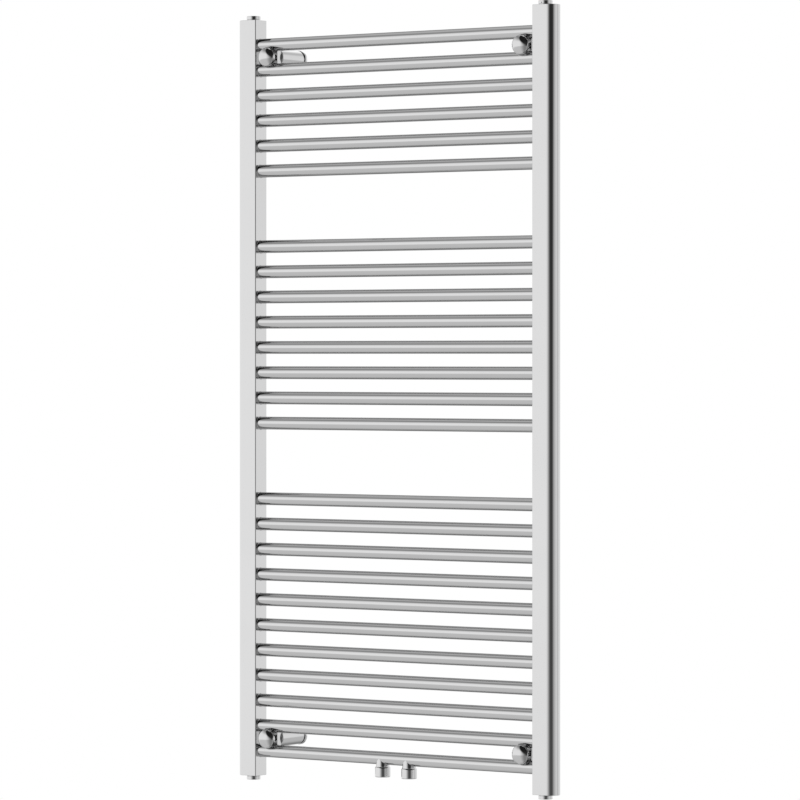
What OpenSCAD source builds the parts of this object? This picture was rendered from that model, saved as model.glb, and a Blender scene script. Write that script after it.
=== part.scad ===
// Ladder towel radiator: round cross tubes between two D-profile uprights, a 50 mm centre
// connection below, an air vent above, and four telescopic clamp brackets on the wall.
// X is the width (+X right, seen from the front), +Y points at the wall, +Z is up.
// The origin is on the wall plane, midway between the four wall screw holes.

/* [Ladder] */
// Width over both uprights
overall_w = 600; // [400:10:800]
// Height of the uprights
upright_h = 1200; // [1200:10:1400]
// Distance from one tube to the next inside a group
pitch = 40; // [36:1:42]
// Pitches from the last tube of a group to the first of the next one
gap_pitches = 3; // [2:1:3]
// Tubes in each group, from the top down
groups = [6, 8, 11]; // [1:1:12]
// Distance from the tube axes to the wall, telescope pushed in
axis_to_wall = 76; // [74:1:90]

/* [Tubes] */
// Outside diameter of a cross tube
tube_d = 20.6; // [18:0.2:22]
// Wall thickness of a cross tube
tube_wall = 1.25; // [1:0.05:2]
// Diameter of the water passage between the bottom tube and a socket
passage_d = 12; // [8:1:14]
// Thickness of the flow baffle in the bottom tube
baffle_t = 1.5; // [1:0.5:3]

/* [Uprights] */
// Width of the D profile, flat inner face to round outer side
upright_w = 39; // [34:1:46]
// Depth of the D profile, front to back
upright_d = 30; // [28:1:36]
// Wall thickness of the D profile
upright_wall = 1.5; // [1.2:0.1:2.5]
// Rounding of the two inner corners of the D profile
corner_r = 1.7; // [0.5:0.1:2]
// Distance from the front face back to the tube axes
tube_setback = 14; // [13:0.5:17]
// Distance from the inner face to the axis of the end ports
port_inset = 15; // [15:0.5:19]
// Thickness of an end cap
cap_t = 5; // [3:0.5:8]
// Depth of the threaded boss under an end cap
boss_depth = 14; // [10:1:18]
// Diameter of that boss
boss_d = 25; // [23:0.5:26]

/* [Threads] */
// Bore of every half inch pipe thread (minor diameter)
thread_d = 18.64; // [18.6:0.01:18.7]
// Radial gap of threads, pins and slip fits
fit_gap = 0.05; // [0.02:0.01:0.1]

/* [End plugs] */
// Diameter of a plug head
plug_d = 22; // [20:0.5:24]
// Height of a plug above the upright's end
plug_h = 7.6; // [6.5:0.1:9]
// Diameter of the neck between plug head and upright
plug_neck_d = 19.6; // [19:0.1:21]
// Height of that neck
plug_neck_h = 1.2; // [0.8:0.1:2]
// Rise of the plug's domed end
plug_dome = 0.9; // [0.5:0.1:1.5]
// Rounding of the head's edges
plug_edge_r = 0.5; // [0.2:0.1:1]
// Length of the plug's threaded shank
plug_shank = 11; // [8:0.5:13]
// Width across flats of the plug's key socket
plug_key = 10; // [8:1:12]
// Depth of the key socket
plug_key_depth = 3; // [2:0.5:4]
// Cord diameter of the sealing ring under a plug
ring_cord = 1.6; // [1.2:0.1:2]

/* [Air vent] */
// Thread diameter of the vent needle
needle_d = 5; // [4:0.5:6]
// Diameter of the vent's outlet hole
outlet_d = 1.6; // [1:0.2:2]

/* [Sockets] */
// Distance between the two connection sockets
socket_spacing = 50; // [50:1:80]
// Outside diameter of the socket's collar
collar_d = 24.6; // [23:0.2:27]
// Height of the collar
collar_h = 16.5; // [14:0.5:18]
// Depth of the socket's mouth below the bottom tube's axis
socket_drop = 29.5; // [29:0.5:34]
// Diameter of the socket's neck at the collar
neck_d = 21; // [20:0.2:21]
// Length of the socket's thread
socket_thread = 13; // [10:1:14]
// Rounding of the collar's lower edge
collar_r = 1.4; // [0.5:0.1:2]
// Rounding of the collar's shoulder
shoulder_r = 1.7; // [0.5:0.1:1.7]

/* [Brackets] */
// Distance between the left and right brackets
bracket_spacing = 480; // [300:10:490]
// Diameter of the clamp cap
clamp_d = 30; // [26:1:34]
// Radius of the clamp cap's domed front
clamp_ball = 24; // [20:1:30]
// Radius of the bend from the dome to the rim
clamp_bend = 3.5; // [2:0.5:5]
// Distance from the tube axes forward to the cap's widest circle
clamp_rim_y = 13.7; // [12:0.1:16]
// Straight rim of the clamp cap
clamp_rim = 2.5; // [1:0.1:3]
// Rounding of the clamp cap's back edge
clamp_edge_r = 0.6; // [0.2:0.1:1]
// Diameter of the clamping stud
stud_d = 6; // [5:0.5:8]
// Diameter of the stud's cone behind the cap
cone_tip_d = 8; // [7:0.5:10]
// Diameter of the cone at the saddle
cone_d = 14; // [11:0.5:16]
// Width of the saddle block
saddle_w = 22; // [16:0.5:26]
// Height of the saddle block behind the tubes
saddle_h = 30; // [24:1:34]
// Distance from the tube axes back to the saddle's front face
saddle_front = 0.5; // [0:0.5:4]
// Distance from the tube axes back to the saddle's rear face
saddle_back = 10.6; // [10.5:0.1:14]
// Diameter of the telescopic stem
stem_d = 18; // [12:1:20]
// Length of the stem
stem_l = 44; // [30:1:48]
// Outside diameter of the wall sleeve
sleeve_d = 29; // [26:0.5:34]
// Rounding of the sleeve's front edge
sleeve_r = 2.2; // [1:0.2:3]
// Rounding of the sleeve's rear edge
sleeve_rear_r = 0.8; // [0.4:0.1:1.5]
// Thickness of the sleeve's base
sleeve_base = 4.5; // [3:0.5:6]
// Diameter of the wall rosette
rosette_d = 30; // [28:0.5:40]
// Thickness of the rosette
rosette_t = 4.5; // [3:0.5:6]
// Rounding of the rosette's front edge
rosette_r = 1; // [0.4:0.1:1.5]
// Diameter of the groove between sleeve and rosette
groove_d = 23; // [20:0.5:27]
// Width of that groove
groove_t = 3; // [1:0.5:4]
// Diameter of the wall screw's hole
wall_hole_d = 5.5; // [4.5:0.5:7]
// Diameter of the grub screw
grub_d = 5; // [4:1:6]
// Distance from the tube axes back to the grub screw
grub_y = 30; // [24:1:36]

/* [Hidden] */
$fn = 72;
CORNERS = [[-1, 1], [1, 1], [-1, -1], [1, -1]];
CORNER_NAMES = ["top_left", "top_right", "bottom_left", "bottom_right"];
VENT_CORNER = 1;

// Rows of the tubes in pitches below the top tube
function before(list, n) = n == 0 ? 0 : list[n - 1] + before(list, n - 1);
function group_start(g) = before(groups, g) - g + gap_pitches * g;
ROWS = [for (g = [0 : len(groups) - 1]) for (i = [0 : groups[g] - 1]) group_start(g) + i];
TUBES = len(ROWS);
BOTTOM = TUBES - 1;
ladder_h = ROWS[BOTTOM] * pitch;
function tube_z(i) = ladder_h / 2 - ROWS[i] * pitch;
function tube_name(i) = str("tube_", i < 9 ? "0" : "", i + 1);

axis_y = -axis_to_wall;
upright_y = axis_y - tube_setback + upright_d / 2;
inner_x = overall_w / 2 - upright_w;
arc_x = upright_w - upright_d / 2;
end_z = upright_h / 2;
bracket_z = ladder_h / 2 - pitch / 2;
play = 0.3;
sleeve_front_y = saddle_back + play;
sleeve_back_y = axis_to_wall - rosette_t - groove_t;
clamp_back_y = clamp_rim_y - clamp_rim;
cap_wall = 5;
clamp_tilt = asin((clamp_d / 2 - clamp_bend) / (clamp_ball - clamp_bend));
clamp_front_y = clamp_rim_y + clamp_ball - (clamp_ball - clamp_bend) * cos(clamp_tilt);
plug_ball = (pow(plug_d / 2 - plug_edge_r, 2) + pow(plug_dome, 2)) / (2 * plug_dome);
BALL_FN = 360;
key_r = plug_key / sqrt(3);
ring_r = thread_d / 2 - ring_cord / 2;
ring_seat = 2.2;
needle_head_d = needle_d + 2;
needle_head_h = 2;
needle_sunk = 0.5;
needle_slot = [1, 1.2];
needle_seat_z = -plug_shank + 3;
nose_d = 4;
nose_tip_d = 1;
hex_key_d = 2.9;
hex_key_depth = 2;
over = 1;

// ---- helpers -------------------------------------------------------------

// Turns a shape made along +Z so that it runs along +Y
module along_y() {
    rotate([-90, 0, 0]) children();
}

// Places a shape at a bracket, its local Y counted from the tube axes towards the wall
module at_bracket(corner) {
    translate([corner[0] * bracket_spacing / 2, axis_y, corner[1] * bracket_z]) children();
}

// Places a shape on an upright's end, its local +Z pointing out of the upright
module at_port(corner) {
    translate([corner[0] * (inner_x + port_inset), upright_y, corner[1] * end_z])
        mirror([0, 0, corner[1] < 0 ? 1 : 0]) children();
}

// A cylinder along X through a tube's place
module tube_bar(d, length) {
    rotate([0, 90, 0]) cylinder(d = d, h = length, center = true);
}

// Half profile of a turned piece: a rectangle whose lower and upper outer corners are rounded
module turned_section(r_out, z_low, z_high, low_r, high_r) {
    translate([0, z_low + low_r]) square([r_out, z_high - z_low - low_r - high_r]);
    translate([0, z_low]) square([r_out - low_r, 2 * low_r]);
    translate([0, z_high - 2 * high_r]) square([r_out - high_r, 2 * high_r]);
    translate([r_out - low_r, z_low + low_r]) circle(low_r);
    translate([r_out - high_r, z_high - high_r]) circle(high_r);
}

// ---- uprights ------------------------------------------------------------

// D outline with its flat inner face on X = inset, grown inwards by inset
module d_outline(inset, round_r) {
    r = upright_d / 2 - inset;
    translate([arc_x, 0]) circle(r);
    translate([inset + round_r, -r]) square([arc_x - inset - round_r, 2 * r]);
    translate([inset, round_r - r]) square([arc_x - inset, 2 * (r - round_r)]);
    for (y = [round_r - r, r - round_r]) translate([inset + round_r, y]) circle(round_r);
}

// Places an outline on the left (-1) or right (1) upright
module on_side(side) {
    translate([side * inner_x, upright_y, 0]) mirror([side < 0 ? 1 : 0, 0, 0]) children();
}

module upright(side) {
    color("gainsboro") difference() {
        on_side(side) linear_extrude(height = upright_h, center = true) difference() {
            d_outline(0, corner_r);
            d_outline(upright_wall, corner_r / 2);
        }
        for (i = [0 : BOTTOM]) translate([side * inner_x, axis_y, tube_z(i)])
            tube_bar(tube_d + 2 * fit_gap, 3 * upright_wall);
    }
}

module end_cap(corner) {
    color("silver") difference() {
        union() {
            translate([0, 0, corner[1] * (end_z - cap_t / 2)]) on_side(corner[0])
                linear_extrude(height = cap_t, center = true)
                    d_outline(upright_wall + fit_gap, corner_r / 2);
            at_port(corner) translate([0, 0, -boss_depth]) cylinder(d = boss_d, h = boss_depth - cap_t / 2);
        }
        at_port(corner) translate([0, 0, -boss_depth - over])
            cylinder(d = thread_d, h = boss_depth + 2 * over);
    }
}

// ---- tubes and sockets ---------------------------------------------------

module tube(i) {
    length = 2 * (inner_x + upright_wall);
    color("lightgray") difference() {
        translate([0, axis_y, tube_z(i)]) tube_bar(tube_d, length);
        translate([0, axis_y, tube_z(i)]) tube_bar(tube_d - 2 * tube_wall, length + 2 * over);
        if (i == BOTTOM) for (side = [-1, 1])
            translate([side * socket_spacing / 2, axis_y, tube_z(i) - tube_d])
                cylinder(d = passage_d, h = tube_d);
    }
}

module socket(side) {
    collar_top = collar_h - socket_drop;
    thread_top = socket_thread - socket_drop;
    color("gainsboro") translate([side * socket_spacing / 2, axis_y, tube_z(BOTTOM)]) difference() {
        union() {
            translate([0, 0, collar_top - over])
                cylinder(d1 = neck_d, d2 = tube_d - 2 * fit_gap, h = over - collar_top);
            rotate_extrude() turned_section(collar_d / 2, -socket_drop, collar_top, collar_r, shoulder_r);
        }
        translate([0, 0, -socket_drop - over]) cylinder(d = thread_d, h = socket_thread + over);
        translate([0, 0, thread_top - over]) cylinder(d = passage_d, h = over - thread_top);
        tube_bar(tube_d + 2 * fit_gap, 3 * collar_d);
    }
}

module flow_baffle() {
    color("dimgray") translate([0, axis_y, tube_z(BOTTOM)])
        tube_bar(tube_d - 2 * tube_wall - 2 * fit_gap, baffle_t);
}

// ---- end plugs and air vent ----------------------------------------------

// Plug without its key socket: shank, seat of the sealing ring, neck and domed head
module plug_blank() {
    edge_z = plug_h - plug_dome;
    rotate_extrude() difference() {
        union() {
            translate([0, -plug_shank]) square([thread_d / 2 - fit_gap, plug_shank + plug_neck_h]);
            square([plug_neck_d / 2, 2 * plug_neck_h]);
            turned_section(plug_d / 2, plug_neck_h, edge_z, plug_edge_r, plug_edge_r);
            intersection() {
                translate([0, edge_z - over]) square([plug_d / 2 - plug_edge_r, over + plug_dome]);
                translate([0, plug_h - plug_ball]) circle(plug_ball, $fn = BALL_FN);
            }
        }
        translate([-plug_d, -plug_shank - over]) square([plug_d, plug_shank + plug_h + 2 * over]);
        translate([ring_r - ring_cord / 2 - fit_gap, -ring_seat])
            square([ring_cord * 2, ring_cord + 2 * fit_gap]);
    }
}

module plug(corner) {
    color("gainsboro") at_port(corner) difference() {
        plug_blank();
        translate([0, 0, plug_h - plug_key_depth]) cylinder(r = key_r, h = plug_key_depth + over, $fn = 6);
    }
}

// The vent has the plug's outline, a stepped bore for its needle and an outlet in its head
module vent_body() {
    head_z = plug_h - needle_head_h - needle_sunk - fit_gap;
    color("gainsboro") at_port(CORNERS[VENT_CORNER]) difference() {
        plug_blank();
        translate([0, 0, head_z]) cylinder(d = needle_head_d + 2 * play, h = plug_h);
        translate([0, 0, needle_seat_z])
            cylinder(d = needle_d + 2 * fit_gap, h = plug_h - needle_seat_z);
        translate([0, 0, -plug_shank - over]) cylinder(d = nose_d / 2, h = plug_shank);
        translate([0, 0, (plug_neck_h + head_z) / 2]) along_y() translate([0, 0, -plug_d])
            cylinder(d = outlet_d, h = plug_d);
    }
}

module vent_needle() {
    head_z = plug_h - needle_head_h - needle_sunk;
    color("darkgray") at_port(CORNERS[VENT_CORNER]) difference() {
        union() {
            translate([0, 0, head_z]) cylinder(d = needle_head_d, h = needle_head_h);
            translate([0, 0, needle_seat_z + nose_d / 2])
                cylinder(d = needle_d, h = head_z - needle_seat_z);
            translate([0, 0, needle_seat_z + fit_gap])
                cylinder(d1 = nose_tip_d, d2 = nose_d, h = nose_d / 2);
        }
        translate([-needle_d, -needle_slot[0] / 2, head_z + needle_head_h - needle_slot[1]])
            cube([2 * needle_d, needle_slot[0], needle_slot[1] + over]);
    }
}

module sealing_rings() {
    color("black") for (corner = CORNERS) at_port(corner)
        translate([0, 0, -ring_seat + ring_cord / 2 + fit_gap]) rotate_extrude()
            translate([ring_r, 0]) circle(d = ring_cord);
}

// ---- brackets ------------------------------------------------------------

// Saddle block behind two tubes, with the stem that slides in the wall sleeve
module clamp_stem(corner) {
    color("silver") at_bracket(corner) difference() {
        union() {
            translate([-saddle_w / 2, saddle_front, -saddle_h / 2])
                cube([saddle_w, saddle_back - saddle_front, saddle_h]);
            translate([0, saddle_back - over, 0]) along_y() cylinder(d = stem_d, h = stem_l + over);
        }
        for (side = [-1, 1]) translate([0, 0, side * pitch / 2])
            tube_bar(tube_d + 2 * fit_gap, 2 * saddle_w);
        translate([0, saddle_front - over, 0]) along_y()
            cylinder(d = stud_d + 2 * fit_gap, h = saddle_back - saddle_front + over);
    }
}

// Stud screwed into the saddle, with the cone that backs it
module clamp_studs() {
    nose = clamp_front_y - cap_wall - play;
    cone_front = play - clamp_back_y;
    color("silver") for (corner = CORNERS) at_bracket(corner) {
        translate([0, -nose, 0]) along_y() cylinder(d = stud_d, h = nose + saddle_back - over);
        translate([0, cone_front, 0]) along_y()
            cylinder(d1 = cone_tip_d, d2 = cone_d, h = saddle_front - fit_gap - cone_front);
    }
}

module clamp_cap(corner) {
    color("gainsboro") at_bracket(corner) difference() {
        along_y() rotate_extrude() {
            intersection() {
                translate([0, clamp_ball - clamp_front_y]) circle(clamp_ball, $fn = BALL_FN);
                translate([0, -clamp_front_y])
                    square([clamp_ball * sin(clamp_tilt), clamp_front_y - clamp_rim_y]);
            }
            intersection() {
                translate([clamp_d / 2 - clamp_bend, -clamp_rim_y]) circle(clamp_bend);
                translate([clamp_d / 2 - clamp_bend, -clamp_front_y])
                    square([clamp_bend, clamp_front_y - clamp_rim_y]);
            }
            translate([0, -clamp_rim_y]) square([clamp_d / 2, clamp_rim - clamp_edge_r]);
            translate([0, -clamp_rim_y]) square([clamp_d / 2 - clamp_edge_r, clamp_rim]);
            translate([clamp_d / 2 - clamp_edge_r, -clamp_back_y - clamp_edge_r]) circle(clamp_edge_r);
        }
        translate([0, cap_wall - clamp_front_y, 0]) along_y()
            cylinder(d = stud_d + 2 * fit_gap, h = clamp_front_y);
    }
}

module wall_sleeve(corner) {
    bore_end = sleeve_back_y - sleeve_base;
    color("gainsboro") at_bracket(corner) difference() {
        along_y() rotate_extrude()
            turned_section(sleeve_d / 2, sleeve_front_y, sleeve_back_y, sleeve_r, sleeve_rear_r);
        translate([0, sleeve_front_y - over, 0]) along_y()
            cylinder(d = stem_d + 2 * fit_gap, h = bore_end - sleeve_front_y + over);
        translate([0, bore_end - over, 0]) along_y()
            cylinder(d = wall_hole_d, h = sleeve_base + 2 * over);
        translate([0, grub_y, -sleeve_d]) cylinder(d = grub_d + 2 * fit_gap, h = sleeve_d);
    }
}

module wall_rosettes() {
    color("gainsboro") for (corner = CORNERS) at_bracket(corner) difference() {
        union() {
            translate([0, sleeve_back_y, 0]) along_y() cylinder(d = groove_d, h = groove_t);
            translate([0, axis_to_wall - rosette_t + rosette_r, 0]) along_y()
                cylinder(d = rosette_d, h = rosette_t - rosette_r);
            along_y() rotate_extrude() {
                translate([0, axis_to_wall - rosette_t]) square([rosette_d / 2 - rosette_r, 2 * rosette_r]);
                translate([rosette_d / 2 - rosette_r, axis_to_wall - rosette_t + rosette_r])
                    circle(rosette_r);
            }
        }
        translate([0, sleeve_back_y - over, 0]) along_y()
            cylinder(d = wall_hole_d, h = groove_t + rosette_t + 2 * over);
    }
}

module grub_screw(corner) {
    tip_z = -stem_d / 2 - play;
    end = -sleeve_d / 2 + play;
    color("dimgray") at_bracket(corner) translate([0, grub_y, 0]) difference() {
        translate([0, 0, end]) cylinder(d = grub_d, h = tip_z - end);
        translate([0, 0, end - over]) cylinder(d = hex_key_d, h = hex_key_depth + over, $fn = 6);
    }
}

// ---- parts ---------------------------------------------------------------

upright(-1);  // upright_left
upright(1);  // upright_right
for (i = [0 : 3]) end_cap(CORNERS[i]);
for (i = [0 : BOTTOM]) tube(i);
socket(-1);  // socket_left
socket(1);  // socket_right
flow_baffle();
plug(CORNERS[0]);  // plug_top_left
plug(CORNERS[2]);  // plug_bottom_left
plug(CORNERS[3]);  // plug_bottom_right
vent_body();
vent_needle();
sealing_rings();
for (i = [0 : 3]) clamp_stem(CORNERS[i]);
clamp_studs();
for (i = [0 : 3]) clamp_cap(CORNERS[i]);
for (i = [0 : 3]) wall_sleeve(CORNERS[i]);
wall_rosettes();
for (i = [0 : 3]) grub_screw(CORNERS[i]);
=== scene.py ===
"""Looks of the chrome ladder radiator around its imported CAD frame."""

import math

import bmesh
import bpy
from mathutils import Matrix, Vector


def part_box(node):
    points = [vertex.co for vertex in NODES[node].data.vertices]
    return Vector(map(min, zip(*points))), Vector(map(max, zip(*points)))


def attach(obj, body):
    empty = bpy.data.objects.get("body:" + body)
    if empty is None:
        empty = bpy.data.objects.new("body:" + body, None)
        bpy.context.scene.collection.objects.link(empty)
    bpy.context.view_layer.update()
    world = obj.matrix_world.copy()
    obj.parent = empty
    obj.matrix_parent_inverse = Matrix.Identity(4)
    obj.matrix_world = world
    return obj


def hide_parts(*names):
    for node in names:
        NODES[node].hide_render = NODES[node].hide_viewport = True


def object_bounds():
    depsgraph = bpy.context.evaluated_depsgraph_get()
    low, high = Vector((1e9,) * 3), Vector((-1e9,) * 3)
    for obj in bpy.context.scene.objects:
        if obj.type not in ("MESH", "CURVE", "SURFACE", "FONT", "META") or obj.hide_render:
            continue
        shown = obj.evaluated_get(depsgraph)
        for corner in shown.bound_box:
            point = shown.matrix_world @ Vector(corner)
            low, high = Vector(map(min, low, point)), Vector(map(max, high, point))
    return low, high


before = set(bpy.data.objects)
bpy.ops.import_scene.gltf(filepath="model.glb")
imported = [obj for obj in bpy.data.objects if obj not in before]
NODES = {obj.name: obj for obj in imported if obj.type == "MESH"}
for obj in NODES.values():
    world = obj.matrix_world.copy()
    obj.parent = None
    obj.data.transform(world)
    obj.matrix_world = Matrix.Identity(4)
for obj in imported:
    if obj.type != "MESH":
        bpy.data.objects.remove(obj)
CAD_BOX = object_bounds()

# ---- camera: the viewing angle is to the right of the front, level, with a long lens
VIEW_AZIMUTH = math.radians(34.68)
VIEW_DISTANCE = 6.809
VIEW_HEIGHT = 0.0636
VIEW_SIDESTEP = 0.0048
LENS = 196.96
SHIFT_Y = -0.05276

VIEW_PLANE = 0.017

# ---- chrome
CHROME = 0.60

# ---- studio: (elevation in degrees, grey that the chrome shows) from the floor to the ceiling
ROOM = ((-65, 160), (-50, 183), (-12, 186), (-4, 221), (18, 219), (45, 125), (56, 170), (90, 205))
REAR = ((-56, 160), (-42, 88), (-3, 218), (10, 208), (33, 105), (56, 168), (90, 205))
CURTAIN = ((-12, 80), (4, 42), (30, 26))
# share of the room's light that is missing, by azimuth from the curtain's middle
SHADE = ((-64, 0), (-20, 0.6), (34, 0.45), (65, 0.18), (88, 0.36), (103, 0.1))
WINDOW_GREY = 248
WINDOW_SILL = (14, 27)
WINDOW_TOP = 62
CURTAIN_MIDDLE = 7
CURTAIN_HALF = 23
CURTAIN_SPREAD = 1.38
CURTAIN_SOFT = (16, 9)

# ---- small shapes, in metres
WELD = 0.0008
EDGE = 0.0005
AROUND = 96


def linear(grey):
    """Linear light of a display grey from 0 to 1."""
    return grey / 12.92 if grey <= 0.04045 else ((grey + 0.055) / 1.055) ** 2.4


def shown(grey):
    """Light that polished chrome shows as a display grey from 0 to 255."""
    return linear(grey / 255) / CHROME


# ---- node helpers ----------------------------------------------------------


class Graph:
    """A node tree with short calls for the nodes that this script uses."""

    def __init__(self, tree):
        self.tree = tree
        tree.nodes.clear()

    def add(self, kind, **settings):
        node = self.tree.nodes.new(kind)
        for key, value in settings.items():
            setattr(node, key, value)
        return node

    def set(self, socket, value):
        if isinstance(value, bpy.types.NodeSocket):
            self.tree.links.new(value, socket)
        else:
            socket.default_value = value

    def math(self, operation, *values, clamp=False):
        node = self.add("ShaderNodeMath", operation=operation, use_clamp=clamp)
        for socket, value in zip(node.inputs, values):
            self.set(socket, value)
        return node.outputs[0]

    def span(self, value, low, high, to_low=0.0, to_high=1.0, kind="SMOOTHSTEP"):
        """Maps value from low..high to to_low..to_high, clamped."""
        node = self.add("ShaderNodeMapRange", interpolation_type=kind, clamp=True)
        for socket, given in zip(node.inputs, (value, low, high, to_low, to_high)):
            self.set(socket, given)
        return node.outputs[0]

    def mix(self, factor, a, b):
        node = self.add("ShaderNodeMix", data_type="FLOAT")
        for socket, value in zip(node.inputs[:4], (factor, None, a, b)):
            if value is not None:
                self.set(socket, value)
        return node.outputs[0]

    def curve(self, value, points, low, high):
        """A smooth grey ramp of value over low..high through (place, grey) points."""
        node = self.add("ShaderNodeValToRGB")
        ramp = node.color_ramp
        ramp.interpolation = "EASE"
        while len(ramp.elements) > 1:
            ramp.elements.remove(ramp.elements[-1])
        for i, (place, grey) in enumerate(points):
            at = (place - low) / (high - low)
            element = ramp.elements[0] if i == 0 else ramp.elements.new(at)
            element.position = at
            element.color = (grey, grey, grey, 1)
        self.set(node.inputs[0], self.span(value, low, high, kind="LINEAR"))
        return node.outputs[0]


# ---- studio ----------------------------------------------------------------


def make_world():
    """White for the camera; to the chrome, a pale room with a window and a dark curtain above the viewer."""
    world = bpy.data.worlds.new("studio")
    bpy.context.scene.world = world
    world.use_nodes = True
    g = Graph(world.node_tree)
    turn = g.add("ShaderNodeVectorRotate", rotation_type="Z_AXIS")
    g.set(turn.inputs["Vector"], g.add("ShaderNodeTexCoord").outputs["Generated"])
    turn.inputs["Angle"].default_value = math.pi / 2 - VIEW_AZIMUTH
    axes = g.add("ShaderNodeSeparateXYZ")
    g.set(axes.inputs[0], turn.outputs[0])
    x, y, z = axes.outputs
    degrees = 180 / math.pi
    azimuth = g.math("SUBTRACT", g.math("MULTIPLY", g.math("ARCTAN2", y, x), degrees), CURTAIN_MIDDLE)
    height = g.math("MULTIPLY", g.math("ARCSINE", z), degrees)

    def light(stops):
        return g.curve(height, [(place, shown(grey)) for place, grey in stops], -90, 90)

    room = light(ROOM)
    low, high = WINDOW_SILL
    window = g.math("MULTIPLY", g.span(height, low, high), g.span(height, 90, WINDOW_TOP))
    window = g.math("MULTIPLY", window, g.span(azimuth, 90, 120))
    rear = g.mix(window, light(REAR), shown(WINDOW_GREY))
    room = g.mix(g.span(g.math("ABSOLUTE", azimuth), 110, 160), room, rear)
    walls = g.math("MULTIPLY", room, g.math("SUBTRACT", 1.0, g.curve(azimuth, SHADE, -180, 180)))
    above = g.math("MAXIMUM", height, 0.0)
    half = g.math("ADD", g.math("MULTIPLY", above, CURTAIN_SPREAD), CURTAIN_HALF)
    soft = g.span(height, 0, 30, CURTAIN_SOFT[0], CURTAIN_SOFT[1])
    aside = g.math("ABSOLUTE", azimuth)
    inside = g.span(aside, g.math("ADD", half, soft), g.math("SUBTRACT", half, soft))
    reach = g.math("MULTIPLY", g.span(height, -13, -6), g.span(height, 88, 70))
    seen = g.mix(g.math("MULTIPLY", inside, reach), walls, light(CURTAIN))
    camera = g.add("ShaderNodeLightPath").outputs["Is Camera Ray"]
    background = g.add("ShaderNodeBackground")
    g.set(background.inputs["Color"], g.mix(camera, seen, 1.0))
    output = g.add("ShaderNodeOutputWorld")
    g.set(output.inputs["Surface"], background.outputs[0])


def make_camera():
    data = bpy.data.cameras.new("camera")
    data.lens = LENS
    data.sensor_width = 36
    data.shift_y = SHIFT_Y
    camera = bpy.data.objects.new("camera", data)
    bpy.context.scene.collection.objects.link(camera)
    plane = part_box("upright_left")[0].y + VIEW_PLANE
    away = Vector((math.sin(VIEW_AZIMUTH), -math.cos(VIEW_AZIMUTH), 0))
    across = Vector((math.cos(VIEW_AZIMUTH), math.sin(VIEW_AZIMUTH), 0))
    camera.location = Vector((0, plane, VIEW_HEIGHT)) + away * VIEW_DISTANCE + across * VIEW_SIDESTEP
    camera.rotation_euler = (math.pi / 2, 0, VIEW_AZIMUTH)
    data.clip_end = 50
    bpy.context.scene.camera = camera


def make_floor_and_light():
    """A pale round floor that fades out at its rim, and a large soft lamp above the front."""
    rings = 24
    radius = 2.8
    mesh = bpy.data.meshes.new("floor")
    bm = bmesh.new()
    bmesh.ops.create_circle(bm, cap_ends=True, radius=radius, segments=rings * 4)
    bm.to_mesh(mesh)
    bm.free()
    floor = bpy.data.objects.new("floor", mesh)
    floor.location = (0, 0, CAD_BOX[0][2] - 0.35)
    bpy.context.scene.collection.objects.link(floor)
    material = bpy.data.materials.new("floor")
    material.use_nodes = True
    g = Graph(material.node_tree)
    shader = g.add("ShaderNodeBsdfPrincipled")
    shader.inputs["Base Color"].default_value = (0.86, 0.86, 0.85, 1)
    shader.inputs["Roughness"].default_value = 0.7
    reach = g.add("ShaderNodeVectorMath", operation="LENGTH")
    g.set(reach.inputs[0], g.add("ShaderNodeTexCoord").outputs["Object"])
    g.set(shader.inputs["Alpha"], g.span(reach.outputs["Value"], radius * 0.45, radius * 0.98, 1.0, 0.0))
    g.set(g.add("ShaderNodeOutputMaterial").inputs["Surface"], shader.outputs[0])
    mesh.materials.append(material)
    floor.visible_glossy = False
    lamp = bpy.data.lights.new("softbox", "AREA")
    lamp.shape = "DISK"
    lamp.size = 2.0
    lamp.energy = 60
    softbox = bpy.data.objects.new("softbox", lamp)
    softbox.location = (0.8, -2.4, 2.2)
    softbox.rotation_euler = (Vector((0, 0, 0)) - softbox.location).to_track_quat("-Z", "Y").to_euler()
    softbox.visible_glossy = False
    bpy.context.scene.collection.objects.link(softbox)


# ---- materials -------------------------------------------------------------


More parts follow.
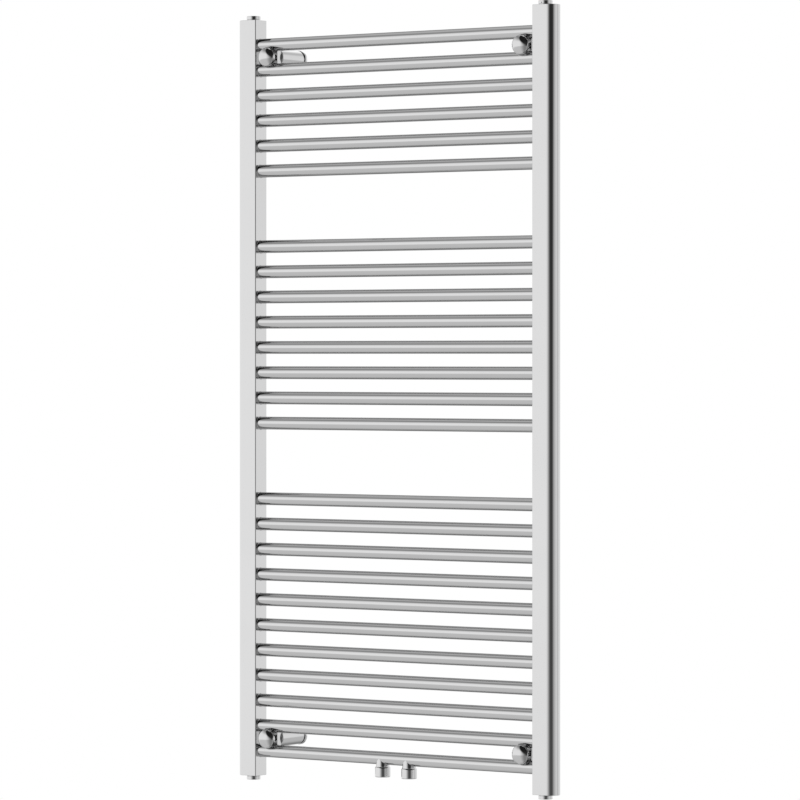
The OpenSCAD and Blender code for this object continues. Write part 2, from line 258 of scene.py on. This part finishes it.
def metal(name, colour, roughness, wander, grain, bump, metallic=1.0, brushed=None):
    """A metal whose roughness wanders a little, with a fine relief of the given grain per metre."""
    material = bpy.data.materials.new(name)
    material.use_nodes = True
    g = Graph(material.node_tree)
    shader = g.add("ShaderNodeBsdfPrincipled")
    shader.inputs["Metallic"].default_value = metallic
    place = g.add("ShaderNodeTexCoord").outputs["Object"]
    stretch = g.add("ShaderNodeMapping")
    g.set(stretch.inputs["Vector"], place)
    stretch.inputs["Scale"].default_value = brushed or (1, 1, 1)
    wide = g.add("ShaderNodeTexNoise")
    wide.inputs["Scale"].default_value = 9
    wide.inputs["Detail"].default_value = 4
    g.set(wide.inputs["Vector"], place)
    fine = g.add("ShaderNodeTexNoise")
    fine.inputs["Scale"].default_value = grain
    fine.inputs["Detail"].default_value = 3
    g.set(fine.inputs["Vector"], stretch.outputs[0])
    rough = g.math("ADD", g.span(wide.outputs[0], 0.35, 0.7, roughness - wander, roughness + wander),
                   g.span(fine.outputs[0], 0.4, 0.7, 0.0, wander))
    g.set(shader.inputs["Roughness"], rough)
    tint = g.add("ShaderNodeMix", data_type="RGBA")
    tint.inputs["A"].default_value = (*colour, 1)
    tint.inputs["B"].default_value = (*(c * 0.985 for c in colour), 1)
    g.set(tint.inputs["Factor"], g.span(wide.outputs[0], 0.45, 0.75))
    g.set(shader.inputs["Base Color"], tint.outputs["Result"])
    relief = g.add("ShaderNodeBump")
    relief.inputs["Strength"].default_value = bump
    relief.inputs["Distance"].default_value = 0.0001
    g.set(relief.inputs["Height"], fine.outputs[0])
    g.set(shader.inputs["Normal"], relief.outputs[0])
    g.set(g.add("ShaderNodeOutputMaterial").inputs["Surface"], shader.outputs[0])
    return material


def make_materials():
    plate = (CHROME, CHROME, CHROME * 1.003)
    return {
        "chrome_upright": metal("chrome_upright", plate, 0.045, 0.012, 700, 0.010),
        "chrome_tube": metal("chrome_tube", plate, 0.045, 0.012, 900, 0.010, brushed=(0.05, 1, 1)),
        "chrome_turned": metal("chrome_turned", plate, 0.04, 0.010, 1200, 0.008),
        "chrome_cast": metal("chrome_cast", [c * 0.97 for c in plate], 0.13, 0.03, 1500, 0.04),
        "bare_steel": metal("bare_steel", (0.56, 0.56, 0.57), 0.22, 0.06, 1800, 0.06, brushed=(1, 0.1, 1)),
        "nickel_brass": metal("nickel_brass", (0.70, 0.67, 0.60), 0.16, 0.04, 1500, 0.05),
        "seal_rubber": metal("seal_rubber", (0.02, 0.02, 0.02), 0.55, 0.08, 2500, 0.15, metallic=0.0),
        "black_oxide": metal("black_oxide", (0.05, 0.05, 0.055), 0.38, 0.06, 2200, 0.12, metallic=0.6),
    }


# ---- mesh helpers ----------------------------------------------------------


def skin(rings, poles=None, closed=True):
    """Quads between neighbouring rings; the last ring joins the first, two poles, or two flat ends."""
    closed = closed and poles is None
    count = len(rings[0])
    points = [p for ring in rings for p in ring]
    faces = []
    for i in range(len(rings) if closed else len(rings) - 1):
        low, high = i * count, (i + 1) % len(rings) * count
        for j in range(count):
            k = (j + 1) % count
            faces.append((low + j, low + k, high + k, high + j))
    if poles:
        for pole, start, step in ((poles[0], 0, -1), (poles[1], (len(rings) - 1) * count, 1)):
            points.append(pole)
            for j in range(count):
                pair = (start + j, start + (j + 1) % count)
                faces.append((len(points) - 1, *pair[::step]))
    elif not closed:
        faces.append(tuple(range(count))[::-1])
        faces.append(tuple(range((len(rings) - 1) * count, len(rings) * count)))
    return points, faces


def piece(name, parts, slot, body, replaced=(), bevel=None):
    """One object from (points, faces) parts, with clean normals, a material and its body."""
    bm = bmesh.new()
    for points, faces in parts:
        verts = [bm.verts.new(p) for p in points]
        for face in faces:
            bm.faces.new([verts[i] for i in face])
    bmesh.ops.remove_doubles(bm, verts=bm.verts, dist=1e-7)
    bmesh.ops.recalc_face_normals(bm, faces=bm.faces)
    if bevel:
        sharp = [e for e in bm.edges if len(e.link_faces) == 2 and e.calc_face_angle() > math.radians(40)]
        bmesh.ops.bevel(bm, geom=sharp, offset=bevel, segments=3, profile=0.5, affect="EDGES",
                        clamp_overlap=True)
    mesh = bpy.data.meshes.new(name)
    bm.to_mesh(mesh)
    bm.free()
    mesh.polygons.foreach_set("use_smooth", [True] * len(mesh.polygons))
    mesh.set_sharp_from_angle(angle=math.radians(35))
    mesh.materials.append(MATERIALS[slot])
    made = bpy.data.objects.new(name, mesh)
    bpy.context.scene.collection.objects.link(made)
    made.modifiers.new("even_normals", "WEIGHTED_NORMAL").keep_sharp = True
    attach(made, body)
    if replaced:
        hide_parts(*replaced)
    return made


def arc(centre, radius, start, end, steps):
    """Points of an arc in degrees, both ends included."""
    angles = [math.radians(start + (end - start) * i / steps) for i in range(steps + 1)]
    return [(centre[0] + radius * math.cos(a), centre[1] + radius * math.sin(a)) for a in angles]


def lathe(profile, centre, along, segments=AROUND):
    """Turns (radius, distance) points about the axis along through centre; radius 0 ends close it."""
    helper = Vector((0, 0, 1)) if abs(along.z) < 0.5 else Vector((1, 0, 0))
    side = along.cross(helper).normalized()
    up = side.cross(along).normalized()
    circle = [2 * math.pi * j / segments for j in range(segments)]
    return [[centre + along * d + (side * math.cos(a) + up * math.sin(a)) * r for a in circle]
            for r, d in profile]


def solid_of_turn(profile, centre, along, segments=AROUND):
    """A turned solid whose profile starts and ends on the axis."""
    ends = [centre + along * profile[i][1] for i in (0, -1)]
    return skin(lathe(profile[1:-1], centre, along, segments), poles=ends)


def middle(node):
    low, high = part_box(node)
    return (low + high) / 2


# ---- pieces ----------------------------------------------------------------

TUBES = sorted(name for name in NODES if name.startswith("tube_"))
CORNERS = ("top_left", "top_right", "bottom_left", "bottom_right")
TUBE_R = (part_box(TUBES[0])[1].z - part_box(TUBES[0])[0].z) / 2
X = Vector((1, 0, 0))
Y = Vector((0, 1, 0))


def d_ring(box, flat_sign, inset, corner, z):
    """Outline of the D profile at height z, shrunk by inset; flat_sign is the side of its flat face."""
    low, high = box
    half = (high.y - low.y) / 2 - inset
    mid_y = (high.y + low.y) / 2
    flat = high.x - inset if flat_sign > 0 else low.x + inset
    arc_x = low.x + (high.y - low.y) / 2 if flat_sign > 0 else high.x - (high.y - low.y) / 2
    ring = [(arc_x - flat_sign * p[0], mid_y + p[1]) for p in arc((0, 0), half, -90, 90, 64)]
    bend = max(corner - inset, EDGE / 2)
    for side, start, end in ((1, 90, 0), (-1, 0, -90)):
        centre = (-bend, side * (half - bend))
        ring += [(flat + flat_sign * p[0], mid_y + p[1]) for p in arc(centre, bend, start, end, 8)]
    return [(x, y, z) for x, y in ring]


def make_uprights():
    wall = 0.0015
    corner = 0.0017
    for side, sign in (("left", 1), ("right", -1)):
        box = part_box("upright_" + side)
        top, base = box[1].z, box[0].z
        edge = [(EDGE - EDGE * math.cos(math.radians(a)), EDGE - EDGE * math.sin(math.radians(a)))
                for a in range(0, 91, 15)]
        rings = [d_ring(box, sign, inset, corner, base + rise) for inset, rise in reversed(edge)]
        rings += [d_ring(box, sign, inset, corner, top - rise) for inset, rise in edge]
        rings.append(d_ring(box, sign, wall, corner, top))
        rings.append(d_ring(box, sign, wall, corner, base))
        piece("upright_shell_" + side, [skin(rings)], "chrome_upright", "radiator", ["upright_" + side])


def make_welds():
    """A small concave fillet where each tube meets the flat face of an upright."""
    inside = 0.00003
    for side, sign in (("left", -1), ("right", 1)):
        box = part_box("upright_" + side)
        face = box[1].x if sign < 0 else box[0].x
        parts = []
        for tube in TUBES:
            mid = middle(tube)
            bow = arc((-WELD, TUBE_R + WELD), WELD, 0, -90, 6)
            section = [(r, x) for x, r in bow]
            section += [(TUBE_R - inside, -WELD), (TUBE_R - inside, inside), (TUBE_R + WELD, inside)]
            centre = Vector((face, mid.y, mid.z))
            parts.append(skin(lathe(section, centre, X * sign, 64)))
        piece("weld_fillets_" + side, parts, "chrome_upright", "radiator")


def make_sockets():
    minor, major, pitch = 0.00932, 0.01048, 0.001814
    neck, passage = 0.01028, 0.006
    collar, drop, shoulder_r, lip_r = 0.0123, 0.0295, 0.0025, 0.0014
    collar_h, thread = 0.0165, 0.013
    neck_foot, mouth, thread_start, runout = -0.0118, 0.0004, 0.0006, 0.0018
    segments = 72
    axis = middle(TUBES[-1])
    for side in ("left", "right"):
        mid = middle("socket_" + side)
        circle = [2 * math.pi * j / segments for j in range(segments)]

        def point(radius, a, rise):
            return Vector((mid.x + radius * math.cos(a), axis.y + radius * math.sin(a), axis.z + rise))

        def ring(radius, rise):
            return [point(radius, a, rise) for a in circle]

        def on_tube(radius):
            return [point(radius, a, -math.sqrt(max(TUBE_R ** 2 - (radius * math.sin(a)) ** 2, 0)))
                    for a in circle]

        top = collar_h - drop
        shoulder = arc((collar - shoulder_r, top - shoulder_r), shoulder_r, 64, 0, 10)
        lip = arc((collar - lip_r, lip_r - drop), lip_r, 0, -90, 8)
        rings = [on_tube(neck)]
        outside = [(shoulder[0][0], neck_foot)] + shoulder + lip + [(major, mouth - drop)]
        rings += [ring(r, d) for r, d in outside]
        steps = 64
        for i in range(steps + 1):
            rise = thread_start + (thread - thread_start) * i / steps
            fade = min(1.0, (thread - rise) / pitch)
            row = []
            for a in circle:
                phase = (rise / pitch - a / (2 * math.pi)) % 1.0
                depth = (0.5 - 0.5 * math.cos(2 * math.pi * phase)) ** 0.8
                radius = minor + (major - minor) * depth * fade
                row.append(point(radius, a, rise - drop))
            rings.append(row)
        rings += [ring(minor, thread - drop + mouth), ring(passage, thread - drop + runout), on_tube(passage)]
        piece("threaded_socket_" + side, [skin(rings)], "chrome_turned", "radiator", ["socket_" + side])


def make_clamp_caps():
    """Turned caps: a domed front, a bend to the rim, a soft back edge and the stud's bore."""
    ball, bend, rim, back_edge = 0.024, 0.0035, 0.0025, 0.0006
    bore, bore_length = 0.00305, 0.0045
    for name in CORNERS:
        low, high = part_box("clamp_cap_" + name)
        radius = (high.x - low.x) / 2
        tilt = math.asin((radius - bend) / (ball - bend))
        length = ball - (ball - bend) * math.cos(tilt) + rim
        profile = [(ball * math.sin(tilt * i / 24), ball * (1 - math.cos(tilt * i / 24))) for i in range(25)]
        profile += arc((radius - bend, length - rim), bend, math.degrees(tilt) - 90, 0, 14)[1:]
        profile += arc((radius - back_edge, length - back_edge), back_edge, 0, 90, 6)
        profile += [(bore, length), (bore, length - bore_length), (0, length - bore_length)]
        centre = Vector(((low.x + high.x) / 2, low.y, (low.z + high.z) / 2))
        piece("domed_cap_" + name, [solid_of_turn(profile, centre, Y)], "chrome_turned", "cap_" + name,
              ["clamp_cap_" + name])


def make_stems():
    """Saddle blocks with soft edges, scooped for two tubes, and the stem behind each."""
    scoop_r = TUBE_R + 0.00005
    for name in CORNERS:
        low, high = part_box("clamp_stem_" + name)
        mid = (low + high) / 2
        axis_y = middle(TUBES[0]).y
        tubes = sorted(TUBES, key=lambda t: abs(middle(t).z - mid.z))[:2]
        gap = abs(middle(tubes[0]).z - middle(tubes[1]).z) / 2
        front, back = low.y - axis_y, 0.0106
        half_h = (high.z - low.z) / 2
        half_w = (high.x - low.x) / 2
        start = math.degrees(math.asin(front / scoop_r))
        end = math.degrees(math.acos((gap - half_h) / scoop_r))
        upper = [(p[1], gap - p[0]) for p in arc((0, 0), scoop_r, start, end, 14)]
        outline = upper + [(back, half_h), (back, -half_h)] + [(y, -z) for y, z in reversed(upper)]
        rings = [[Vector((mid.x + x, axis_y + y, mid.z + z)) for y, z in outline] for x in (-half_w, half_w)]
        piece("saddle_block_" + name, [skin(rings, closed=False)], "chrome_cast", "radiator",
              ["clamp_stem_" + name], bevel=0.0006)
        stem_r = 0.009
        length = high.y - axis_y
        hidden, chamfer = 0.0002, 0.001
        profile = [(0, back - hidden), (stem_r, back - hidden), (stem_r, length - chamfer),
                   (stem_r - chamfer, length), (0, length)]
        shape = solid_of_turn(profile, Vector((mid.x, axis_y, mid.z)), Y)
        piece("sliding_stem_" + name, [shape], "chrome_cast", "radiator")


bpy.context.scene.view_settings.view_transform = "Standard"
make_world()
make_camera()
make_floor_and_light()
MATERIALS = make_materials()
for node in NODES.values():
    for slot in node.material_slots:
        slot.material = MATERIALS[slot.material.name.split(".")[0]]
make_uprights()
make_welds()
make_sockets()
make_clamp_caps()
make_stems()
